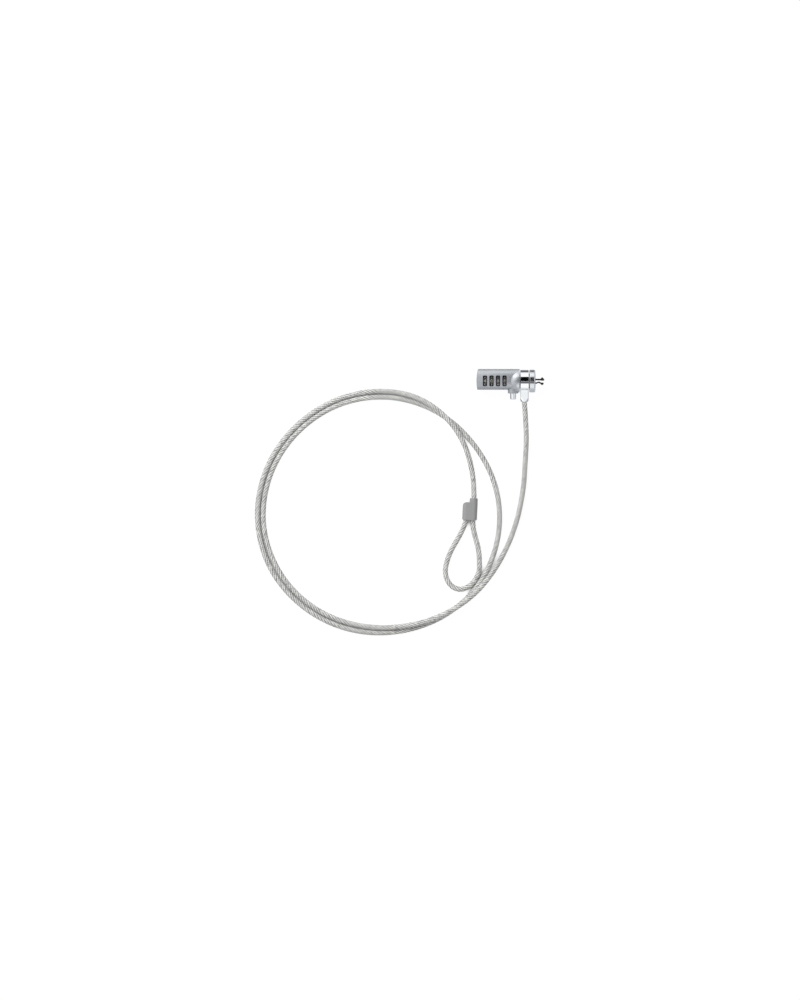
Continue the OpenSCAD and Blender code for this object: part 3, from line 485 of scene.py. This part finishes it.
def stamped_digits(name, x, first):
    """Ten digits round a wheel. Digit k lies on the flat that is turned k tenths of a turn about the axis,
    and is centred on it. The foil is as far sunk in the flat as it stands proud of it."""
    points, faces = [], []
    for k in range(DIGITS):
        text = bpy.data.curves.new(name, "FONT")
        text.body = str((first + k) % DIGITS)
        text.align_x, text.align_y = "CENTER", "CENTER"
        text.size = DIGIT_TALL / TALL_SHARE
        text.extrude = FOIL
        text.resolution_u = 3
        lettering = bpy.data.objects.new(name, text)
        flat = lettering.to_mesh()
        local = np.empty(len(flat.vertices) * 3)
        flat.vertices.foreach_get("co", local)
        local = local.reshape(-1, 3)
        local[:, :2] -= (local[:, :2].min(axis=0) + local[:, :2].max(axis=0)) / 2
        radius = DIAL_FLAT + local[:, 2]
        turn = 2 * math.pi * k / DIGITS
        y = local[:, 1] * math.cos(turn) - radius * math.sin(turn)
        z = local[:, 1] * math.sin(turn) + radius * math.cos(turn)
        base = sum(len(p) for p in points)
        points.append(np.stack([x + local[:, 0], AXIS_Y + y, AXIS_Z + z], axis=1))
        faces += [[base + i for i in face.vertices] for face in flat.polygons]
        lettering.to_mesh_clear()
        bpy.data.objects.remove(lettering)
        bpy.data.curves.remove(text)
    mesh = bpy.data.meshes.new(name)
    mesh.from_pydata(np.vstack(points), [], faces)
    piece = bpy.data.objects.new(name, mesh)
    bpy.context.scene.collection.objects.link(piece)
    return piece


for i, shown in enumerate(SHOWN):
    wheel = rounded(f"dial_{i + 1}", f"dial_set_{i + 1}", DIAL_EDGE, angle=25, segments=2)
    wheel.data.materials.append(plastic)
    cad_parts[f"dial_{i + 1}"].data.materials[0] = plastic
    digits = stamped_digits(f"dial_{i + 1}_digits", DIAL_X + i * DIAL_PITCH, shown)
    digits.data.materials.append(foil)
    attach(digits, f"dial_set_{i + 1}")

# ---- Code sleeves and spindle --------------------------------------------------------------
# Inside each wheel sits a turned brass sleeve with a gate, and the brass spindle slides through all four when
# their gates line up. The lathe's marks run round them, 0.08 mm apart, under stains of 1.7 mm.

LATHE_MARK = 0.00008
STAIN = 1 / 600
brass, tree, shader = finish_of("turned_brass", Metallic=1.0, Roughness=0.26)
place = add(tree, "ShaderNodeTexCoord")
parts = add(tree, "ShaderNodeSeparateXYZ", Vector=place.outputs["Object"])
feed = add(tree, "ShaderNodeMath", {"operation": "MULTIPLY", 1: 2 * math.pi / LATHE_MARK},
           _0=parts.outputs[0])
marks = add(tree, "ShaderNodeMath", {"operation": "SINE"}, _0=feed.outputs[0])
stain = add(tree, "ShaderNodeTexNoise", {"Scale": 1 / STAIN, "Detail": 3.0}, Vector=place.outputs["Object"])
tint = add(tree, "ShaderNodeValToRGB", {"stops": [(0.3, "#BE9A50"), (0.7, "#D8B870")]}, Fac=stain.outputs[0])
tree.links.new(tint.outputs[0], shader.inputs["Base Color"])
bump = add(tree, "ShaderNodeBump", {"Strength": 0.15, "Distance": 0.00001}, Height=marks.outputs[0])
tree.links.new(bump.outputs[0], shader.inputs["Normal"])
for name in ("sleeve_1", "sleeve_2", "sleeve_3", "sleeve_4", "spindle"):
    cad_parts[name].data.materials[0] = brass

# ---- Springs -------------------------------------------------------------------------------
# The detent spring is a corrugated strip of rolled spring steel. The return spring is coiled from drawn wire,
# and its turns close up towards the claws as the button goes in. Rolling and drawing leave clouds of 0.7 mm.

DRAWN = 1 / 1500
SPRING_WIRE_R = 0.00025
SPRING_TURNS = 4
TURN_STEPS = 32
WIRE_SIDES = 10
wire_steel, tree, shader = finish_of("blued_spring_steel", Metallic=1.0, Roughness=0.30)
place = add(tree, "ShaderNodeTexCoord")
draw = add(tree, "ShaderNodeTexNoise", {"Scale": 1 / DRAWN, "Detail": 3.0}, Vector=place.outputs["Object"])
tint = add(tree, "ShaderNodeValToRGB", {"stops": [(0.3, "#84888E"), (0.7, "#A4A8AC")]}, Fac=draw.outputs[0])
tree.links.new(tint.outputs[0], shader.inputs["Base Color"])
for name in ("detent_spring", "return_spring"):
    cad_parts[name].data.materials[0] = wire_steel


def coiled_wire(low, high):
    """Rings of a round wire wound right-handed round the X axis through the middle of the box from low to
    high. The wire's centre rises evenly from one end of the box to the other, and its outside just touches
    the box."""
    turn = np.linspace(0, 2 * np.pi * SPRING_TURNS, SPRING_TURNS * TURN_STEPS + 1)
    _, middle_y, middle_z = (low + high) / 2
    mean_r = (high[1] - low[1]) / 2 - SPRING_WIRE_R
    rise = np.linspace(low[0] + SPRING_WIRE_R, high[0] - SPRING_WIRE_R, len(turn))
    radial = np.stack([np.zeros_like(turn), np.cos(turn), np.sin(turn)], axis=1)
    centre = np.stack([rise, np.full_like(turn, middle_y), np.full_like(turn, middle_z)], axis=1)
    centre += mean_r * radial
    around = np.arange(WIRE_SIDES)[None, :, None] / WIRE_SIDES * 2 * np.pi
    out = np.cos(around) * radial[:, None] - np.sin(around) * np.array([1.0, 0.0, 0.0])
    return centre[:, None] + SPRING_WIRE_R * out


low, high = (np.array(corner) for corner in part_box("return_spring"))
rings = coiled_wire(low, high)
wire_share = np.arange(WIRE_SIDES + 1) / WIRE_SIDES
coil = closed_tube("coiled_return_spring", rings, np.linspace(0, 1, len(rings)), wire_share)
coil.data.materials.append(wire_steel)
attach(coil, "lock_body")
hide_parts("return_spring")
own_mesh(coil)

# ---- Pins and washers ----------------------------------------------------------------------
# Roll pins hold the end cap and the head, washers part the wheels, and plain pins carry the claws and couple
# the button. All are zinc-plated steel, dull grey with faint clouds of 1.1 mm.

ZINC_CLOUD = 1 / 900
zinced, tree, shader = finish_of("zinc_plated_steel", Metallic=1.0, Roughness=0.36)
place = add(tree, "ShaderNodeTexCoord")
cloud = add(tree, "ShaderNodeTexNoise", {"Scale": 1 / ZINC_CLOUD, "Detail": 3.0},
            Vector=place.outputs["Object"])
tint = add(tree, "ShaderNodeValToRGB", {"stops": [(0.3, "#A6A8AA"), (0.7, "#C2C4C6")]}, Fac=cloud.outputs[0])
tree.links.new(tint.outputs[0], shader.inputs["Base Color"])
bump = add(tree, "ShaderNodeBump", {"Strength": 0.1, "Distance": 0.00001}, Height=cloud.outputs[0])
tree.links.new(bump.outputs[0], shader.inputs["Normal"])
for name in ("roll_pins", "dial_spacers", "cam_pin", "claw_pins"):
    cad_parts[name].data.materials[0] = zinced

# ---- Push button and reset screw -----------------------------------------------------------
# The round button stands out of its boss, and the slotted screw sits in the end cap. Both are turned from
# steel, polished and chrome-plated.

BUTTON_EDGE = 0.00030
SCREW_EDGE = 0.00010

# Polished chrome: a clear mirror with the faintest cloud of handling marks, some 3 mm across.
TOUCH = 1 / 350
chrome, tree, shader = finish_of("polished_chrome", Metallic=1.0, Roughness=0.06)
place = add(tree, "ShaderNodeTexCoord")
touch = add(tree, "ShaderNodeTexNoise", {"Scale": 1 / TOUCH, "Detail": 4.0}, Vector=place.outputs["Object"])
tint = add(tree, "ShaderNodeValToRGB", {"stops": [(0.3, "#F2F4F6"), (0.7, "#FAFBFC")]}, Fac=touch.outputs[0])
tree.links.new(tint.outputs[0], shader.inputs["Base Color"])
rough = add(tree, "ShaderNodeMapRange", {1: 0.3, 2: 0.7, 3: 0.04, 4: 0.09}, _0=touch.outputs[0])
tree.links.new(rough.outputs[0], shader.inputs["Roughness"])
for name, body, width in (("push_button", "button", BUTTON_EDGE), ("reset_screw", "reset_key", SCREW_EDGE)):
    skin = rounded(name, body, width)
    skin.data.materials.append(chrome)
    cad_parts[name].data.materials[0] = chrome

# ---- Head ----------------------------------------------------------------------------------
# The end disc and the neck that the ring turns on are one casting, pinned in the housing. The disc is finely
# brushed round its axis and plated, in lines 0.15 mm apart. The neck is painted near black, as shade in the
# gap.

HEAD_EDGE = 0.00020
NECK_R, NECK_TO = 0.0064, 0.0158
BRUSHED = 0.00015

plated, tree, shader = finish_of("brushed_chrome_plate", Metallic=1.0, Roughness=0.22)
place = add(tree, "ShaderNodeTexCoord")
centred = add(tree, "ShaderNodeMapping", {1: (0, -AXIS_Y, -AXIS_Z)}, Vector=place.outputs["Object"])
across = add(tree, "ShaderNodeVectorMath", {"operation": "MULTIPLY", 1: (0, 1, 1)}, _0=centred.outputs[0])
reach = add(tree, "ShaderNodeVectorMath", {"operation": "LENGTH"}, _0=across.outputs[0])
# Painted shade: the neck, inside NECK_R and short of NECK_TO, is coloured near black so the gap round the
# ring reads dark.
painted_neck_shade = add(tree, "ShaderNodeMath", {"operation": "LESS_THAN", 1: NECK_R}, _0=reach.outputs["Value"])
behind = add(tree, "ShaderNodeSeparateXYZ", Vector=place.outputs["Object"])
inside = add(tree, "ShaderNodeMath", {"operation": "LESS_THAN", 1: NECK_TO}, _0=behind.outputs[0])
painted_neck_shade = add(tree, "ShaderNodeMath", {"operation": "MULTIPLY"}, _0=painted_neck_shade.outputs[0], _1=inside.outputs[0])
lines = add(tree, "ShaderNodeCombineXYZ", X=behind.outputs[0], Y=reach.outputs["Value"])
lines = add(tree, "ShaderNodeTexNoise", {"Scale": 1 / BRUSHED, "Detail": 3.0}, Vector=lines.outputs[0])
tint = add(tree, "ShaderNodeValToRGB", {"stops": [(0.3, "#DDE0E3"), (0.7, "#EBEDEF")]}, Fac=lines.outputs[0])
colour = add(tree, "ShaderNodeMixRGB", {"Color2": linear("#1A1A1A")}, Fac=painted_neck_shade.outputs[0],
             Color1=tint.outputs[0])
tree.links.new(colour.outputs[0], shader.inputs["Base Color"])
rough = add(tree, "ShaderNodeMapRange", {1: 0.3, 2: 0.7, 3: 0.18, 4: 0.26}, _0=lines.outputs[0])
tree.links.new(rough.outputs[0], shader.inputs["Roughness"])
bump = add(tree, "ShaderNodeBump", {"Strength": 0.05, "Distance": 0.00001}, Height=lines.outputs[0])
tree.links.new(bump.outputs[0], shader.inputs["Normal"])
skin = rounded("head", "lock_body", HEAD_EDGE)
skin.data.materials.append(plated)
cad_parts["head"].data.materials[0] = plated

# ---- Swivel ring ---------------------------------------------------------------------------
# A polished, chrome-plated ring that turns freely on the neck, cast in one with the lug that grips the cable.
# Its rims are rounded by polishing. The lug is a turned body with two flats that draw together at its mouth.

RING_X = (0.0083, 0.0153)
RING_R, RING_BORE = 0.0094, 0.00608
RIM, BORE_RIM = 0.00018, 0.00015
RING_SEGMENTS = 256
LUG_X = 0.0118
LUG_FROM, LUG_MOUTH = 0.0064, 0.0174
LUG_HALF_W, LUG_HALF_H, MOUTH_HALF_H = 0.0035, 0.0036, 0.0029
LUG_R, MOUTH_R, CONE_L = 0.0047, 0.0030, 0.0035
MOUTH_BORE, MOUTH_DEPTH = 0.00223, 0.0020
MOUTH_RIM, BORE_CHAMFER = 0.00025, 0.0001
EDGE_POWER = 26
# The body bends into the cone over this share of the cone's length, before and after where it starts.
BEND_SHARE = 0.2
# Rings lie loosely up to the first of these distances before the cone, and closely from the second.
LOOSE_TO, CLOSE_FROM = 0.0006, 0.0004
LOOSE_RINGS, CLOSE_RINGS = 12, 26


def rounded_section(corners, radii, steps=8):
    """A closed outline with round corners, and its outward normals: at each corner an arc that touches both
    sides, with its centre on the bisector. The corners go round counterclockwise."""
    corners, radii = np.array(corners), np.array(radii)[:, None]
    back = np.roll(corners, 1, axis=0) - corners
    ahead = np.roll(corners, -1, axis=0) - corners
    back /= np.linalg.norm(back, axis=1, keepdims=True)
    ahead /= np.linalg.norm(ahead, axis=1, keepdims=True)
    half = np.arccos(np.clip((back * ahead).sum(axis=1), -1, 1))[:, None] / 2
    middle = back + ahead
    middle /= np.linalg.norm(middle, axis=1, keepdims=True)
    centre = corners + middle * radii / np.sin(half)
    first = corners + back * radii / np.tan(half) - centre
    last = corners + ahead * radii / np.tan(half) - centre
    share = np.linspace(0, 1, steps + 1)[:, None, None]
    open_angle = np.pi - 2 * half
    arc = (np.sin((1 - share) * open_angle) * first + np.sin(share * open_angle) * last) / np.sin(open_angle)
    normals = (arc / radii).transpose(1, 0, 2).reshape(-1, 2)
    return (centre + arc).transpose(1, 0, 2).reshape(-1, 2), normals


def turned_ring(name, section, normals, segments):
    """A closed section (x, radius) carried round the dials' axis, with its normals carried round too."""
    turn = np.arange(segments) / segments * 2 * np.pi
    out = np.stack([np.sin(turn), np.cos(turn)], axis=1)
    centre = np.array([0, AXIS_Y, AXIS_Z])

    def carried(flat):
        along = np.broadcast_to(flat[:, None, :1], (len(flat), segments, 1))
        return np.concatenate([along, flat[:, None, 1:] * out[None]], axis=2)

    points = carried(section) + centre
    count = len(section)
    i, j = np.meshgrid(np.arange(count), np.arange(segments), indexing="ij")
    here, ahead = i * segments, (i + 1) % count * segments
    right = (j + 1) % segments
    quads = np.stack([here + j, here + right, ahead + right, ahead + j], axis=-1)
    mesh = bpy.data.meshes.new(name)
    mesh.from_pydata(points.reshape(-1, 3), [], quads.reshape(-1, 4).tolist())
    mesh.polygons.foreach_set("use_smooth", [True] * len(mesh.polygons))
    mesh.normals_split_custom_set_from_vertices(carried(normals).reshape(-1, 3).tolist())
    piece = bpy.data.objects.new(name, mesh)
    bpy.context.scene.collection.objects.link(piece)
    return piece


def lug_surface(name, sides=96):
    """Rings round the lug's axis, which runs towards -Y. At each angle the radius is the least of the ring's
    two sides, the two flats and the turned body or cone, blended by a high power so that the edges between
    them are soft. The body bends into the cone along a parabola. At the mouth the rings turn inwards round a
    rim, and back along the cable's bore."""
    cone_at = LUG_MOUTH - CONE_L
    along = np.concatenate([np.linspace(LUG_FROM, cone_at - LOOSE_TO, LOOSE_RINGS),
                            np.linspace(cone_at - CLOSE_FROM, LUG_MOUTH - MOUTH_RIM, CLOSE_RINGS)])
    turn = np.arange(sides) / sides * 2 * np.pi
    half_h = LUG_HALF_H + (MOUTH_HALF_H - LUG_HALF_H) * along / LUG_MOUTH
    into = np.clip((along - cone_at) / CONE_L, -BEND_SHARE, 1)
    ease = np.where(into < BEND_SHARE, (into + BEND_SHARE) ** 2 / (4 * BEND_SHARE), into)
    body_r = LUG_R + (MOUTH_R - LUG_R) * ease
    blend = (np.abs(np.cos(turn))[None] / LUG_HALF_W) ** EDGE_POWER
    blend = blend + (np.abs(np.sin(turn))[None] / half_h[:, None]) ** EDGE_POWER
    blend = blend + (1 / body_r[:, None]) ** EDGE_POWER
    radius = blend ** (-1 / EDGE_POWER)
    bend = np.linspace(0, np.pi / 2, 7)[1:]
    lip = radius[-1:] - MOUTH_RIM * (1 - np.cos(bend))[:, None]
    lip_at = LUG_MOUTH - MOUTH_RIM + MOUTH_RIM * np.sin(bend)
    bore_at = np.array([LUG_MOUTH, LUG_MOUTH - BORE_CHAMFER, LUG_MOUTH - MOUTH_DEPTH])
    bore = np.array([MOUTH_BORE + BORE_CHAMFER, MOUTH_BORE, MOUTH_BORE])[:, None] * np.ones((1, sides))
    radius = np.vstack([radius, lip, bore])
    along = np.concatenate([along, lip_at, bore_at])
    rings = np.stack([
        LUG_X + radius * np.cos(turn), np.broadcast_to(AXIS_Y - along[:, None], radius.shape),
        AXIS_Z + radius * np.sin(turn)], axis=2)
    return closed_tube(name, rings, along, np.arange(sides + 1) / sides)


section, normals = rounded_section(
    [(RING_X[0], RING_BORE), (RING_X[1], RING_BORE), (RING_X[1], RING_R), (RING_X[0], RING_R)],
    [BORE_RIM, BORE_RIM, RIM, RIM])
ring = turned_ring("polished_ring", section, normals, RING_SEGMENTS)
lug = lug_surface("cable_lug")
for piece in (ring, lug):
    piece.data.materials.append(chrome)
    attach(piece, "cable_end")
    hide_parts("swivel_ring")
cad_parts["swivel_ring"].data.materials[0] = chrome

# ---- Claws and spreader --------------------------------------------------------------------
# Two hooks stamped from hardened steel, which turn on their pins when the spreader pushes between them. The
# stamping leaves them dark, with brighter rubbed spots of 1.1 mm.

CLAW_EDGE = 0.00012
RUBBED = 1 / 900
STEEL = [(0.35, "#423F3C"), (0.6, "#625E5A"), (0.75, "#A09C98")]
hardened, tree, shader = finish_of("hardened_stamped_steel", Metallic=1.0, Roughness=0.3)
place = add(tree, "ShaderNodeTexCoord")
rub = add(tree, "ShaderNodeTexNoise", {"Scale": 1 / RUBBED, "Detail": 4.0}, Vector=place.outputs["Object"])
tint = add(tree, "ShaderNodeValToRGB", {"stops": STEEL}, Fac=rub.outputs[0])
tree.links.new(tint.outputs[0], shader.inputs["Base Color"])
bump = add(tree, "ShaderNodeBump", {"Strength": 0.15, "Distance": 0.00002}, Height=rub.outputs[0])
tree.links.new(bump.outputs[0], shader.inputs["Normal"])
for name, body in (("claw_upper", "upper_claw"), ("claw_lower", "lower_claw")):
    skin = rounded(name, body, CLAW_EDGE)
    skin.data.materials.append(hardened)
    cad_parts[name].data.materials[0] = hardened
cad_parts["spreader"].data.materials[0] = hardened

# ---- Crimps and cover ----------------------------------------------------------------------
# An aluminium sleeve pressed round both strands makes the loop, and grey soft vinyl is moulded over it, with
# a neck round the strand that goes on. The cable's other end has a pressed aluminium stop.

COVER_EDGE = 0.00070

# Pressed aluminium, bright in the dents of 0.8 mm that the jaws of the press leave.
DENT = 1 / 1200
pressed, tree, shader = finish_of("pressed_aluminium", Metallic=1.0, Roughness=0.4)
place = add(tree, "ShaderNodeTexCoord")
dents = add(tree, "ShaderNodeTexNoise", {"Scale": 1 / DENT, "Detail": 3.0}, Vector=place.outputs["Object"])
tint = add(tree, "ShaderNodeValToRGB", {"stops": [(0.3, "#B4B4B6"), (0.7, "#D0D0D2")]}, Fac=dents.outputs[0])
tree.links.new(tint.outputs[0], shader.inputs["Base Color"])
bump = add(tree, "ShaderNodeBump", {"Strength": 0.2, "Distance": 0.00003}, Height=dents.outputs[0])
tree.links.new(bump.outputs[0], shader.inputs["Normal"])
for name in ("cable_stop", "loop_crimp"):
    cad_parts[name].data.materials[0] = pressed

# Soft grey vinyl with the fine grain of a spark-eroded mould, 0.3 mm, and a broad low gloss.
GRAINED = 0.0003
vinyl, tree, shader = finish_of("soft_grey_vinyl", Roughness=0.38, IOR=1.52)
place = add(tree, "ShaderNodeTexCoord")
grain = add(tree, "ShaderNodeTexNoise", {"Scale": 1 / GRAINED, "Detail": 2.0}, Vector=place.outputs["Object"])
tint = add(tree, "ShaderNodeValToRGB", {"stops": [(0.3, "#979798"), (0.7, "#A1A1A2")]}, Fac=grain.outputs[0])
tree.links.new(tint.outputs[0], shader.inputs["Base Color"])
bump = add(tree, "ShaderNodeBump", {"Strength": 0.15, "Distance": 0.00003}, Height=grain.outputs[0])
tree.links.new(bump.outputs[0], shader.inputs["Normal"])
cover = rounded("loop_cover", "cable_end", COVER_EDGE, angle=40, segments=4)
cover.data.materials.append(vinyl)
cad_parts["loop_cover"].data.materials[0] = vinyl
